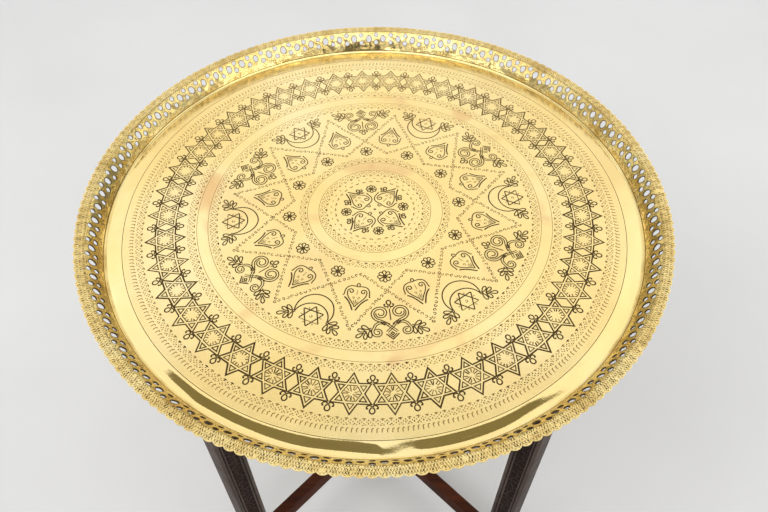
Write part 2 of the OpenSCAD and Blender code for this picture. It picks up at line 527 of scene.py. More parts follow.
def draw_floor():
    """The whole engraving of the tray's floor."""
    d = Drawing()
    # middle
    d.stroke(line(arc(0, 0, 0.9, 0, 300, 5), 0.9, 0.3, True))
    for k in range(4):
        place(d, heart(), 22.6, 50.8 + 90 * k)
        place(d, rosette(5.6), 30.6, 6.5 + 90 * k)
        for side in (-25, 25):
            place(d, bud_sprig(), 29.5, 6.5 + 90 * k + side, 20 if side > 0 else -20, 0.72)
    for k in range(34):
        cup = arc(0, 0, 1.9, 200, 340, 4)
        place(d, [line(cup, 0.8, 0.24, False, FINE)], 43.6, 360 * k / 34)
        place(d, [line([(-1.2, 0), (1.2, 0)], 0.7, 0.2, False, FINE)], 46.8, 360 * (k + 0.5) / 34)
    hatch_band(d, 50.6, 58.2, 8.0)
    ring_line(d, R_MEDALLION)
    ring_line(d, R_RING_1)
    # field between the polished rings: twelve kites, hearts, rosettes
    hatch_band(d, 73.6, 80.4, 8.2)
    for k in range(12):
        az = FIRST_HEART + 30 * k
        place(d, heart(), 116.4, az)
        place(d, rosette(), 91.0, az - 15)
        for side in (-1, 1):
            beads(d, polar(154.0, az), polar(88.5, az + 30 * side))
        motif = crescent() if k % 2 == 0 else knot()
        place(d, motif, 143.0 if k % 2 == 0 else 145.0, az - 15)
    hatch_band(d, 166.4, 174.6)
    ring_line(d, R_FIELD)
    ring_line(d, R_RING_2)
    # band of stars
    hatch_band(d, 189.8, 198.0)
    for k in range(STARS):
        even = FIRST_STAR + 360 / STARS * k
        gap = stepped_off(even + 180 / STARS)
        at_the_front = (k + 3) % STARS < 6
        reach = 5.7 if at_the_front else rng.choice((3.1, 3.6))
        place(d, big_star(reach), 220.2, stepped_off(even), bend=True, weight=1.0)
        place(d, bud_sprig(), 231.6, gap, bend=True)
        place(d, moved(bud_sprig(), 180), 208.7, gap, 0, 0.94, bend=True)
    hatch_band(d, 243.2, 250.4, 7.8)
    fringe = 364
    for k in range(fringe):
        tall = rng.uniform(1.8, 2.7)
        hook = [(0.8, tall), (0.8, -1.2), (0.0, -2.1), (rng.uniform(-1.5, -0.6), -1.9)]
        place(d, [line(hook, 0.68, 0.24, False, FINE)], 254.9, 360 * k / fringe, bend=True)
    ring_line(d, R_THIN_LINE, 0.6, 0.2, DEEP)
    return d


# ---- shaping the sheet
BORDER_W = 14.7  # the plain border, from the thin line to the bend
SAG = 0.66  # depth of the shallow trough worn into the border
WORN_AT = -98  # azimuth of the middle of the trough
KNOCK_AT = -86.5  # azimuth where it was knocked level again
LEAST_WORN = 0.12  # the trough's depth elsewhere, as a share of SAG


def floor_height(x, y):
    """Height of the hand-hammered floor, in millimetres, near zero."""
    r = math.hypot(x, y)
    height = 0.42 * bumps(x * 0.011, y * 0.011, 1.3) + 0.14 * bumps(x * 0.032, y * 0.032, 7.1)
    height *= min(1.0, (FLOOR_R + 4 - r) / 20)
    across = clamp((r - R_THIN_LINE) / BORDER_W)
    if across > 0:
        height += 0.22 * bumps(x * 0.033, y * 0.033, 5.5) * math.sin(math.pi * across)
        azimuth = math.degrees(math.atan2(y, x))
        from_middle = abs((azimuth - WORN_AT + 180) % 360 - 180)
        from_knock = abs((azimuth - KNOCK_AT + 180) % 360 - 180)
        worn = lerp(LEAST_WORN, 1.0, ease((46 - from_middle) / 22))
        worn *= lerp(LEAST_WORN, 1.0, ease((from_knock - 2.5) / 3.0))
        wander = 0.13 * bumps(x * 0.026, y * 0.026, 9.1)
        slope = steady((across - 0.12 + wander) / 0.62)
        height -= SAG * worn * (slope - 0.5 * ease((across - 0.76) / 0.3))
    return height


def ring_of_points(radius, step, jitter=0.0):
    """Points about `step` apart on a circle, which starts anywhere."""
    count = int(TAU * radius / step)
    shift = rng.random()
    out = []
    for k in range(count):
        a = TAU * (k + shift) / count
        r = radius + (rng.uniform(-jitter, jitter) if jitter else 0.0)
        out.append((r * math.cos(a), r * math.sin(a)))
    return out


def spread_points(limit, step):
    """Loose points on rings, so that the hammered surface has somewhere to bend."""
    out = [(0.3, 3.1)]
    ring = step
    while ring < limit:
        out += ring_of_points(ring, step, 0.5)
        ring += step
    return out


def border_points():
    """Loose points on the plain border, close enough for its trough to shade smoothly."""
    rings = np.linspace(R_THIN_LINE + 1.4, RIM_R - 1.2, 6)
    return [p for ring in rings for p in ring_of_points(ring, 2.4)]


def build_floor():
    """The floor of the tray and the two sets of grooves cut into it."""
    drawing = draw_floor()
    loose = spread_points(R_THIN_LINE - 2, 6.5) + border_points()
    points, faces, depth, tone = drawing.triangles([FLOOR_RIM], loose)
    height = np.array([floor_height(x, y) for x, y in points])
    verts = np.column_stack([points, FLOOR_Z + height - depth])
    return points, verts, faces, tone


# ---- gallery and flange
REF_R = 290.0  # radius at which lengths round the rim are laid flat
GROUP_W = TAU * REF_R / GROUPS  # width of one group of holes, laid flat
STRIP_L = GROUP_W * GROUPS
LOW_BEND, TOP_BEND = 3.2, 4.0  # radii of the bends under and over the wall
STEEP, SLACK = 67.0, 47.0  # slope of the wall at its foot and at its top
FLANGE_START = FLANGE_R + 2.3
SCALLOP_R = 6.5


def sheet_profile():
    """Radius and height along the sheet, from the edge of the floor to the scallops.

    A bend, a wall that leans out more and more, a second bend and the flat flange.
    """
    def run(start, end, steps, length):
        slope = np.radians(lerp(start, end, (np.arange(steps) + 0.5) / steps))
        return np.stack([np.cos(slope), np.sin(slope)], 1) * length / steps

    low = run(0, STEEP, 6, LOW_BEND * math.radians(STEEP))
    turn = run(SLACK, 0, 5, TOP_BEND * math.radians(SLACK))
    wall = run(STEEP, SLACK, 6, 1.0)
    wall *= (GALLERY_H - low[:, 1].sum() - turn[:, 1].sum()) / wall[:, 1].sum()
    path = np.vstack([[(0, 0)], np.cumsum(np.vstack([low, wall, turn]), 0)])
    path[:, 0] += FLANGE_START - path[-1, 0]
    path = np.vstack([path, [(R_OUT, GALLERY_H)]])
    s = np.concatenate([[0], np.cumsum(np.linalg.norm(np.diff(path, axis=0), axis=1))])
    marks = {"low": s[:7], "wall": s[6:13], "top": s[12:18], "end": s[-1]}
    return path, s, marks


# S_ names are lengths along that profile, from the edge of the floor
PROFILE, PROFILE_S, MARKS = sheet_profile()
S_WALL_0, S_WALL_1 = MARKS["low"][-1], MARKS["top"][0]
S_FLANGE, S_END = MARKS["top"][-1], MARKS["end"]
RIM_R = PROFILE[0, 0]
FLOOR_RIM = oval(0, 0, RIM_R, RIM_R, GROUPS * 6)


def profile_at(s):
    return np.array([np.interp(s, PROFILE_S, values) for values in PROFILE.T])


def on_sheet(x, s, sink=0.0):
    """Place on the finished tray of a point laid flat: x round the rim, s up the profile."""
    r, z = profile_at(s)
    dr, dz = profile_at(s + 0.6) - profile_at(s - 0.6)
    size = math.hypot(dr, dz)
    a = x / REF_R
    c, q = math.cos(a), math.sin(a)
    on_wall = clamp((s - S_WALL_0) / 4, (S_WALL_1 - s) / 3)
    dent = bumps(c * 17, q * 17, s * 0.05) + 0.75 * bumps(c * 46, q * 46, s * 0.16)
    push = 0.6 * on_wall * dent - sink
    edge = ease((s - S_WALL_1 + 3) / 6)
    out = clamp((s - S_WALL_1) / (S_END - S_WALL_1))
    sag = edge * (lerp(0.95, 0.28, out) + 0.2 * bumps(c * 9, q * 9, 4.4))
    sag += 0.08 * edge * bumps(c * 60, q * 60, s * 0.2)
    r += -dz / size * push
    z += dr / size * push - sag
    fade = max(0.0, 1 - s / 7.0)
    z += fade * floor_height(RIM_R * c, RIM_R * q)
    return r * c, r * q, FLOOR_Z + z


def scallop_edge(x):
    """How far up the profile the sheet reaches at x, along its scalloped edge."""
    pitch = GROUP_W / SCALLOPS_PER_GROUP
    off = (x % pitch) - pitch / 2
    return S_END - (SCALLOP_R - math.sqrt(SCALLOP_R ** 2 - off ** 2))


# (place along the group, place up the wall, half width, half height, corners)
HOLES = ((0.25, 0.65, 3.2, 4.0, 16), (0.75, 0.86, 2.55, 2.65, 12), (0.75, 0.45, 2.55, 2.65, 12))


def hole_plans():
    """Place, half sizes and lean of every hole: a large oval and a pair of small ones by turns."""
    plans = []
    reach = S_WALL_1 - S_WALL_0
    for k in range(GROUPS):
        for along, up, half_w, half_h, steps in HOLES:
            x = (k + along) * GROUP_W + rng.uniform(-0.4, 0.4)
            s = S_WALL_0 + up * reach + rng.uniform(-0.35, 0.35)
            grow = rng.uniform(0.93, 1.06)
            plans.append((x, s, half_w * grow, half_h * grow, rng.uniform(-14, 14), steps))
    return plans


def hole_loops(plans, flare):
    """The outlines of the holes laid flat, widened by `flare`."""
    return [turned(oval(0, 0, half_w * flare, half_h * flare, steps), lean, (x, s))
            for x, s, half_w, half_h, lean, steps in plans]


def strip_outline():
    """The two long edges of the flat strip, along the floor and along the scallops."""
    bottom = np.array([(x, 0.0) for x in np.linspace(0, STRIP_L, GROUPS * 6 + 1)])
    xs = np.linspace(0, STRIP_L, GROUPS * SCALLOPS_PER_GROUP * 7 + 1)
    top = np.array([(x, scallop_edge(min(x, STRIP_L - 1e-6))) for x in xs])
    return bottom, top


def draw_gallery(drawing, plans):
    """Chisel work on the upper side: a standing lattice on the flange and dents on the wall."""
    pitch = GROUP_W / SCALLOPS_PER_GROUP
    cell = pitch / 4
    low, high, rows = S_FLANGE - 3.2, S_END - 2.0, 3
    for row in range(rows):
        for i in range(1, GROUPS * SCALLOPS_PER_GROUP * 4 - 1):
            heavy = max(0.0, 1 - abs((i % 4) - 1.5) / 1.7)
            for side in (-1, 1):
                if rng.random() < 0.1:
                    continue
                x = (i + 0.5 + 0.5 * (row % 2)) * cell + rng.uniform(-0.35, 0.35)
                lift = rng.uniform(-0.1, 0.1)
                a, b = ((x + side * t * cell, lerp(low, high, (row + 0.5 + lift + t * 1.25) / rows))
                        for t in (-0.5, 0.5))
                tone = DEEP if rng.random() < 0.05 + 0.5 * heavy else FINE
                drawing.dash(a, b, rng.uniform(0.5, 0.7) + 0.5 * heavy, 0.3, tone)
    for k in range(GROUPS * SCALLOPS_PER_GROUP):
        for side in (-1, 1):
            at = (k + 0.5) * pitch + side * rng.uniform(1.2, 1.7)
            s = S_END - 1.5 - 0.2 * side
            drawing.dash((at - 1.0, s), (at + 1.0, s), 0.8, 0.2)
    foot = [(x, S_WALL_0 + 0.3) for x in np.linspace(1.5, STRIP_L - 1.5, GROUPS * 3)]
    drawing.stroke(line(foot, 0.9, 0.2))
    near = tree_of(plans)
    for k in range(GROUPS * 84):
        x = rng.uniform(1.5, STRIP_L - 1.5)
        s = rng.uniform(S_WALL_0 + 1.4, S_WALL_1 + 1.2)
        _, i, gap = near.find((x, s, 0))
        if gap < max(plans[i][2], plans[i][3]) + 1.7:
            continue
        lean = rng.uniform(-0.9, 0.9)
        tone = DEEP if rng.random() < 0.35 else FINE
        drawing.dash((x - 0.9, s - lean), (x + 0.9, s + lean), rng.uniform(0.7, 1.2), 0.24, tone)


def flat_strip(holes, bottom, top, plans=None):
    """Triangles of one side of the gallery and flange, laid flat."""
    d = Drawing()
    if plans:
        draw_gallery(d, plans)
    d.add_path(bottom, False)
    d.add_path(top, False)
    step = GROUP_W / 6
    count = GROUPS * 6
    rows = [*MARKS["low"][1:], *MARKS["wall"][1:-1], *MARKS["top"]]
    for s in rows:
        d.add_path([(i * step, s) for i in range(count + 1)], False)
    for x in (0, STRIP_L):
        d.add_path([(x, s) for s in (0.0, *rows, top[0][1])], False)
    # painted shade: a flat ring round each hole takes the dark patina of the deep grooves
    painted_shade_rings = hole_loops(plans, 1.25) if plans else []
    for loop in holes + painted_shade_rings:
        d.add_path(loop, True)
    points, faces, depth, tone = d.triangles()
    c = points[faces].mean(1)
    limit = np.array([scallop_edge(v) for v in c[:, 0]])
    keep = (c[:, 0] > 0) & (c[:, 0] < STRIP_L) & (c[:, 1] > 0) & (c[:, 1] < limit)
    keep &= ~inside_holes(c, holes)
    if painted_shade_rings:
        tone[inside_holes(c, painted_shade_rings)] = DEEP
    return points, faces[keep], depth, tone[keep]


def inside_holes(centres, holes):
    """Which points fall in a hole. Every hole is convex."""
    inside = np.zeros(len(centres), bool)
    order = np.argsort(centres[:, 0])
    xs = centres[order, 0]
    for loop in holes:
        lo, hi = np.searchsorted(xs, (loop[:, 0].min(), loop[:, 0].max()))
        some = order[lo:hi]
        q = centres[some]
        ok = np.ones(len(some), bool)
        for a, b in zip(loop, np.roll(loop, -1, 0)):
            ok &= (b[0] - a[0]) * (q[:, 1] - a[1]) - (b[1] - a[1]) * (q[:, 0] - a[0]) > 0
        inside[some[ok]] = True
    return inside


def cut_edge(upper, lower, closed):
    """The cut edge of the sheet: a strip of quads from the upper side to the underside."""
    n = len(upper)
    verts = [on_sheet(x, s) for x, s in upper] + [on_sheet(x, s, SHEET) for x, s in lower]
    span = n if closed else n - 1
    faces = [(i, n + i, n + (i + 1) % n, (i + 1) % n) for i in range(span)]
    return verts, faces


def join(parts):
    """Several (verts, faces) as one."""
    verts, faces = [], []
    for v, f in parts:
        base = len(verts)
        verts.extend(v)
        faces.extend(tuple(base + i for i in face) for face in f)
    return verts, faces


def shade_like(obj, smooth):
    """Gives the first points of a mesh the normals of the smooth sheet below the grooves."""
    normals = [tuple(v.normal) for v in obj.data.vertices]
    normals[:len(smooth)] = smooth
    obj.data.normals_split_custom_set_from_vertices(normals)


def floor_normals(points):
    out = []
    for x, y in points:
        dx = floor_height(x + 0.5, y) - floor_height(x - 0.5, y)
        dy = floor_height(x, y + 0.5) - floor_height(x, y - 0.5)
        out.append(Vector((-dx, -dy, 1.0)).normalized())
    return out


def strip_normals(points):
    out = []
    for x, s in points:
        along = Vector(on_sheet(x + 0.4, s)) - Vector(on_sheet(x - 0.4, s))
        up = Vector(on_sheet(x, s + 0.4)) - Vector(on_sheet(x, s - 0.4))
        out.append(up.cross(along).normalized())
    return out


def chosen(faces, keep):
    """The points that the chosen faces use, and those faces with their points renumbered."""
    some = faces[keep]
    used, index = np.unique(some, return_inverse=True)
    return used, index.reshape(some.shape)


def chosen_part(verts, faces, keep):
    used, some = chosen(faces, keep)
    return verts[used], some


def build_tray(brass, worn_brass, dark, golden):
    """One sheet of brass: floor and gallery, and two sets of grooves with patina in them. The deep
    set also carries painted shade on the holes' cut edges and on a ring round each hole.
    """
    p, verts, faces, tone = build_floor()
    used, plain = chosen(faces, tone == -1)
    q, low_faces, _, _ = Drawing().triangles([FLOOR_RIM], spread_points(RIM_R - 9, 15))
    rest = tray_low.z / MM
    low = np.array([(x, y, max(rest, FLOOR_Z - SHEET + floor_height(x, y))) for x, y in q])
    floor = mesh_object("tray_floor", *join([(verts[used], plain), (low, low_faces[:, ::-1])]))
    shade_like(floor, floor_normals(p[used]))
    cuts = {kind: [chosen_part(verts, faces, tone == kind)] for kind in (DEEP, FINE)}

    plans = hole_plans()
    upper, lower = hole_loops(plans, 1.0), hole_loops(plans, 1.16)
    bottom, top = strip_outline()
    p, faces, depth, tone = flat_strip(upper, bottom, top, plans)
    faces = faces[:, ::-1]
    verts = np.array([on_sheet(x, s, d) for (x, s), d in zip(p, depth)])
    for kind in cuts:
        cuts[kind].append(chosen_part(verts, faces, tone == kind))
    used, plain = chosen(faces, tone == -1)
    q, low_faces, _, _ = flat_strip(lower, bottom, top)
    low = np.array([on_sheet(x, s, SHEET) for x, s in q])
    low[:, 2] = np.maximum(low[:, 2], rest)
    parts = [(verts[used], plain), (low, low_faces), cut_edge(top, top, False)]
    gallery = mesh_object("tray_gallery", *join(parts))
    shade_like(gallery, strip_normals(p[used]))

    # painted shade: the holes' cut edges are made dark with the deep grooves' patina
    painted_shade_hole_walls = [cut_edge(a, b, True) for a, b in zip(upper, lower)]
    cuts[DEEP] += painted_shade_hole_walls
    deep = mesh_object("tray_engraving_deep_and_painted_hole_shade", *join(cuts[DEEP]))
    fine = mesh_object("tray_engraving_fine", *join(cuts[FINE]))
    for piece, material in ((floor, brass), (gallery, worn_brass), (deep, dark), (fine, golden)):
        piece.data.materials.append(material)
        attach(piece, "tray")
        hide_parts("tray")


# ---- legs
LEG_AZIMUTHS = {"leg_front_left": 225, "leg_back_right": 45,
                "leg_front_right": 315, "leg_back_left": 135}
LEG_W, LEG_T = 31.0, 24.0
LEG_MID = 246.5  # from the upright axis to the middle of a leg
LEG_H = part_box("leg_front_left")[1].z / MM
PANEL_HALF = 7.0  # half the width of the carved panel
PLAIN_END = 102.0  # length of leg left plain above and below the panel
VINE_PITCH = 48.0
PANEL_DEPTH = 1.75  # of the panel's ground below the face of the leg
RELIEF = 1.6  # height of the carving above that ground


def vine_samples():
    """One repeat of the carving: a waving stem, a curl in each bend, leaves and berries."""
    paths = []
    z = np.linspace(-6, VINE_PITCH + 6, 46)
    paths.append((np.stack([3.0 * np.sin(TAU * z / VINE_PITCH), z], 1), 1.0))
    for half, side in ((0.25, -1), (0.75, 1)):
        zc = VINE_PITCH * half
        paths.append((spiral(side * 2.2, zc, 3.9, 90 - side * 60, side * 1.3, 22, 0.15), 0.85))
        for dz in (-9.5, 9.5):
            leaf = petal(6.2, 3.6, 0.15, 12)
            turn = -side * (62 if dz > 0 else 118)
            paths.append((turned(leaf, turn, (side * 0.4, zc + dz)), 0.65))
            rib = turned([(0, 1), (0, 5)], turn, (side * 0.4, zc + dz))
            paths.append((np.array(rib), 0.5))
    for k in range(6):
        side = 1 if k % 2 else -1
        paths.append((arc(side * 5.9, VINE_PITCH * (k + 0.5) / 6, 0.5, 0, 300, 5), 0.75))
    samples = []
    for p, half in paths:
        for a, b in zip(p[:-1], p[1:]):
            n = max(1, int(np.linalg.norm(b - a) / 0.3))
            for j in range(n):
                x, y = lerp(a, b, j / n)
                for shift in (-VINE_PITCH, 0, VINE_PITCH):
                    samples.append((x, y + shift, half))
    return samples


def vine_relief():
    """A function of place on the panel that gives the height of the carving, 0 to 1."""
    samples = vine_samples()
    tree = tree_of(samples)

    def height(u, z):
        _, k, dist = tree.find((u, z % VINE_PITCH, 0))
        half = samples[k][2]
        bump = max(0.0, 1 - (dist / (half * 1.5)) ** 2)
        return clamp(bump ** 0.6 + 0.12 * bumps(u * 0.9, z * 0.9, 2.0))
    return height


def face_profile():
    """(place across, depth) along one flat face of a leg; the depth is None on the panel."""
    half = LEG_W / 2
    edge = [(-half, 0.9), (-half + 0.25, 0.25), (-half + 0.9, 0.0),
            (-11.1, 0.0), (-10.9, 2.6), (-9.7, 2.6)]
    bead = [(-8.25 + 1.25 * math.cos(a), 1.3 - 1.25 * math.sin(a))
            for a in np.linspace(math.pi, 0, 6)]
    panel = [(u, None) for u in np.linspace(-PANEL_HALF + 0.2, PANEL_HALF - 0.2, 19)]
    left = edge + bead
    right = [(-u, d) for u, d in reversed(left)]
    return left + panel + right


def weld(obj, distance, sharp_degrees):
    """Merges points that coincide, turns faces outwards and keeps hard edges crisp."""
    bm = bmesh.new()
    bm.from_mesh(obj.data)
    bmesh.ops.remove_doubles(bm, verts=bm.verts, dist=distance)
    bmesh.ops.recalc_face_normals(bm, faces=bm.faces)
    bm.to_mesh(obj.data)
    bm.free()
    obj.data.set_sharp_from_angle(angle=math.radians(sharp_degrees))


def build_leg(name, azimuth, height, wood, panel_wood):
    """A leg whose two flat faces carry a sunk carved panel between two beads."""
    across = face_profile()
    carve_low, carve_high = PLAIN_END, LEG_H - PLAIN_END
    ramp = 1.6
    rings = [0.0, 0.8, 2.0, 30.0, 60.0, 90.0, carve_low]
    rings += list(np.arange(carve_low + ramp, carve_high - ramp, 1.25))
    rings += [carve_high - ramp, carve_high, LEG_H - 60, LEG_H - 30, LEG_H - 2, LEG_H - 0.6, LEG_H]
    verts = []
    for z in rings:
        cut = clamp((z - carve_low) / ramp, (carve_high - z) / ramp)
        end = 0.8 if z == 0.0 else (0.5 if z == LEG_H else 0.0)
        for side in (1, -1):
            for u, depth in across:
                if depth is None:
                    depth = PANEL_DEPTH - RELIEF * height(u * side, z + 11 * side)
                corner = abs(u) > LEG_W / 2 - 1.0
                sunk = depth if corner else depth * cut
                scale = 1 - end / (LEG_W / 2)
                verts.append((side * u * scale + LEG_MID, side * (LEG_T / 2 - sunk) * scale, z))
    n = 2 * len(across)
    faces = []
    for k in range(len(rings) - 1):
        for i in range(n):
            j = (i + 1) % n
            faces.append((k * n + i, (k + 1) * n + i, (k + 1) * n + j, k * n + j))
    faces.append(tuple(range(n)))
    faces.append(tuple((len(rings) - 1) * n + i for i in reversed(range(n))))
    placed = np.array(verts)
    placed[:, :2] = turned(placed[:, :2], azimuth)
    leg = mesh_object("carved_" + name, placed, faces)
    weld(leg, 0.001 * MM, 35)
    leg.data.materials.append(wood)
    leg.data.materials.append(panel_wood)
    for face in leg.data.polygons:
        x, y = turned([(face.center.x / MM, face.center.y / MM)], -azimuth)[0]
        on_panel = abs(x - LEG_MID) < PANEL_HALF and abs(y) > 6
        if on_panel and carve_low < face.center.z / MM < carve_high:
            face.material_index = 1
    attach(leg, node_body(name))
    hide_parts(name)


def node_body(name):
    bodies = frame["record"]["behaviour"]["bodies"]
    return next(body for body, nodes in bodies.items() if name in nodes)


# ---- rails, pegs and bolts
def softened(name, width, material):
    """A copy of a CAD piece with its edges eased, which stands for that piece."""
    source = frame["nodes"][name]
    copy = link(bpy.data.objects.new("eased_" + name, source.data.copy()))
    bm = bmesh.new()
    bm.from_mesh(copy.data)
    bmesh.ops.remove_doubles(bm, verts=bm.verts, dist=1e-6)
    bmesh.ops.dissolve_limit(bm, angle_limit=math.radians(1), verts=bm.verts, edges=bm.edges)
    bm.to_mesh(copy.data)
    bm.free()
    bevel = copy.modifiers.new("ease", "BEVEL")
    bevel.width = width * MM
    bevel.segments = 3
    bevel.limit_method = "ANGLE"
    bevel.angle_limit = math.radians(40)
    bake_modifiers(copy)
    copy.data.polygons.foreach_set("use_smooth", [True] * len(copy.data.polygons))
    copy.data.set_sharp_from_angle(angle=math.radians(32))
    copy.data.materials.clear()
    copy.data.materials.append(material)
    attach(copy, node_body(name))
    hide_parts(name)


def bake_modifiers(obj):
    """Applies an object's modifiers to its mesh."""
    bpy.context.view_layer.update()
    shaped = obj.evaluated_get(bpy.context.evaluated_depsgraph_get())
    mesh = bpy.data.meshes.new_from_object(shaped)
    obj.modifiers.clear()
    obj.data = mesh


# ---- materials
class Nodes:
    """A node tree whose nodes are added by short calls."""

    def __init__(self, tree, where):
        self.tree = tree
        self.where = tree.nodes.new("ShaderNodeTexCoord").outputs[where]

    def node(self, kind, **settings):
        node = self.tree.nodes.new(kind)
        for key, value in settings.items():
            if key in node.inputs.keys():
                node.inputs[key].default_value = value
            else:
                setattr(node, key, value)
        return node

    def join(self, source, target):
        self.tree.links.new(source, target)

    def feed(self, value, socket):
        """Joins a socket to another one, or gives it a number or a colour."""
        if hasattr(value, "is_linked"):
            self.join(value, socket)
        else:
            socket.default_value = (*value, 1) if isinstance(value, tuple) else value

    def noise(self, scale, detail=3.0, roughness=0.5, vector=None, distortion=0.0):
        node = self.node("ShaderNodeTexNoise", Scale=scale, Detail=detail, Roughness=roughness,
                         Distortion=distortion)
        self.join(vector or self.where, node.inputs["Vector"])
        return node.outputs["Fac"]

    def ramp(self, factor, stops):
        """A ramp from (position, grey or colour) stops."""
        node = self.node("ShaderNodeValToRGB")
        elements = node.color_ramp.elements
        elements[0].position = stops[0][0]
        elements[1].position = stops[-1][0]
        for position, _ in stops[1:-1]:
            elements.new(position)
        for element, (_, value) in zip(elements, stops):
            element.color = (*value, 1) if isinstance(value, tuple) else (value, value, value, 1)
        self.join(factor, node.inputs["Fac"])
        return node.outputs["Color"]

    def grey(self, factor, low, high, start=0.3, end=0.7):
        return self.ramp(factor, [(start, low), (end, high)])

    def mix(self, factor, a, b, mode="MIX"):
        node = self.node("ShaderNodeMix", data_type="RGBA", blend_type=mode)
        self.feed(factor, node.inputs[0])
        self.feed(a, node.inputs[6])
        self.feed(b, node.inputs[7])
        return node.outputs[2]

    def math(self, operation, *values):
        node = self.node("ShaderNodeMath", operation=operation)
        for value, socket in zip(values, node.inputs):
            self.feed(value, socket)
        return node.outputs[0]

    def axis(self, name):
        """One part of the place, X, Y or Z."""
        parts = self.node("ShaderNodeSeparateXYZ")
        self.join(self.where, parts.inputs[0])
        return parts.outputs[name]


class Shader(Nodes):
    """The nodes of one material, laid out in its object's own coordinates."""

    def __init__(self, name, metallic=0.0, specular=0.5):
        self.material = bpy.data.materials.new(name)
        self.material.use_nodes = True
        super().__init__(self.material.node_tree, "Object")
        self.surface = self.tree.nodes["Principled BSDF"].inputs
        self.surface["Metallic"].default_value = metallic
        self.surface["Specular IOR Level"].default_value = specular

    def stretched(self, scale, turn=0.0):
        """The place on the object, turned about Z and scaled."""
        node = self.node("ShaderNodeMapping", Rotation=(0, 0, math.radians(turn)), Scale=scale)
        self.join(self.where, node.inputs["Vector"])
        return node.outputs["Vector"]

    def distance_from_axis(self):
        """How far a point is from the upright axis, in metres."""
        flat = self.node("ShaderNodeCombineXYZ")
        self.join(self.axis("X"), flat.inputs["X"])
        self.join(self.axis("Y"), flat.inputs["Y"])
        size = self.node("ShaderNodeVectorMath", operation="LENGTH")
        self.join(flat.outputs[0], size.inputs[0])
        return size.outputs["Value"]

    def colour(self, value):
        self.feed(value, self.surface["Base Color"])

    def roughness(self, value):
        self.feed(value, self.surface["Roughness"])

    def bump(self, height, strength, distance):
        node = self.node("ShaderNodeBump", Strength=strength, Distance=distance)
        self.join(height, node.inputs["Height"])
        self.join(node.outputs["Normal"], self.surface["Normal"])


def polished_brass():
    s = Shader("polished_brass", metallic=1.0)
    cloud = s.noise(7.0, 4.0, 0.55)
    base = s.ramp(cloud, [(0.3, (0.95, 0.71, 0.28)), (0.5, (0.98, 0.77, 0.34)),
                          (0.7, (1.0, 0.83, 0.44))])
    # faint orange stains, on the two polished rings most of all
    away = s.distance_from_axis()
    rings = s.ramp(away, [(0.0, 0.1), (0.055, 0.1), (0.062, 1.0), (0.070, 1.0), (0.078, 0.25),
                          (0.17, 0.25), (0.178, 1.0), (0.187, 1.0), (0.195, 0.15), (1.0, 0.15)])
    blotch = s.grey(s.noise(16.0, 3.0, 0.5, distortion=0.4), 0.0, 0.9, 0.52, 0.68)
    s.colour(s.mix(s.math("MULTIPLY", rings, blotch), base, (0.80, 0.51, 0.23)))
    # those rings are smoother, and so is the plain border, most of all at the front
    plain = s.ramp(away, [(0.0, 1.0), (0.059, 1.0), (0.061, 0.55), (0.071, 0.55), (0.073, 1.0),
                          (0.176, 1.0), (0.178, 0.55), (0.187, 0.55), (0.189, 1.0), (1.0, 1.0)])
    border = s.grey(away, 0.0, 1.0, 0.262, 0.265)
    plain = s.mix(border, plain, s.grey(s.axis("Y"), 0.22, 0.9, 0.03, 0.17))
    s.roughness(s.math("MULTIPLY", plain, s.grey(s.noise(60.0, 5.0, 0.65), 0.20, 0.32)))
    s.bump(s.noise(420.0, 4.0, 0.6), 0.05, 0.0004)
    return s.material


def worn_brass():
    s = Shader("worn_brass", metallic=1.0)
    cloud = s.noise(26.0, 5.0, 0.6)
    base = s.ramp(cloud, [(0.28, (0.62, 0.44, 0.15)), (0.46, (0.95, 0.74, 0.31)),
                          (0.72, (1.0, 0.87, 0.46))])
    # the pierced wall is darker, the flange less so: partly dirt, partly painted shade, which painted
    # light lifts towards the back
    away = s.distance_from_axis()
    dirt_and_painted_shade = s.ramp(away, [(0.2805, (0.95, 0.93, 0.90)), (0.283, (0.52, 0.50, 0.38)),
                         (0.292, (0.64, 0.61, 0.47)), (0.297, (1.0, 0.98, 0.93))])
    # painted light: the wall's darkening fades towards the back of the tray
    dirt_and_painted_shade = s.mix(s.grey(s.axis("Y"), 0.0, 0.85, 0.05, 0.24), dirt_and_painted_shade, (0.92, 0.90, 0.82))
    s.colour(s.mix(1.0, base, dirt_and_painted_shade, "MULTIPLY"))
    shine = s.grey(away, 0.4, 1.0, 0.292, 0.299)
    s.roughness(s.math("MULTIPLY", shine, s.grey(s.noise(80.0, 4.0, 0.6), 0.26, 0.52)))
    s.bump(s.noise(300.0, 4.0, 0.6), 0.16, 0.0005)
    return s.material


def patina(name, colour, painted_paler_back, roughness):
    """The patina left in the grooves, with painted light making it paler towards the back of the
    tray.
    """
    s = Shader(name, metallic=1.0)
    # painted light: the grooves' colour grows paler towards the back of the tray
    s.colour(s.mix(s.grey(s.axis("Y"), 0.0, 1.0, -0.08, 0.22), colour, painted_paler_back))
    s.roughness(roughness)
    return s.material


def stained_wood(name, dark, light, turn=None, shine=0.12):
    """Dark stained wood. The grain runs along Z, or level along the direction `turn`."""
    s = Shader(name, specular=shine)
    along = s.stretched((1, 1, 0.06)) if turn is None else s.stretched((0.06, 1, 1), -turn)
    grain = s.noise(150.0, 5.0, 0.6, along, 0.3)
    figure = s.mix(0.5, grain, s.noise(24.0, 3.0, 0.5, along))
    s.colour(s.ramp(figure, [(0.36, dark), (0.62, light)]))
    s.roughness(s.grey(s.noise(38.0, 4.0), 0.5, 0.7))
    s.bump(grain, 0.35, 0.0004)
    return s.material


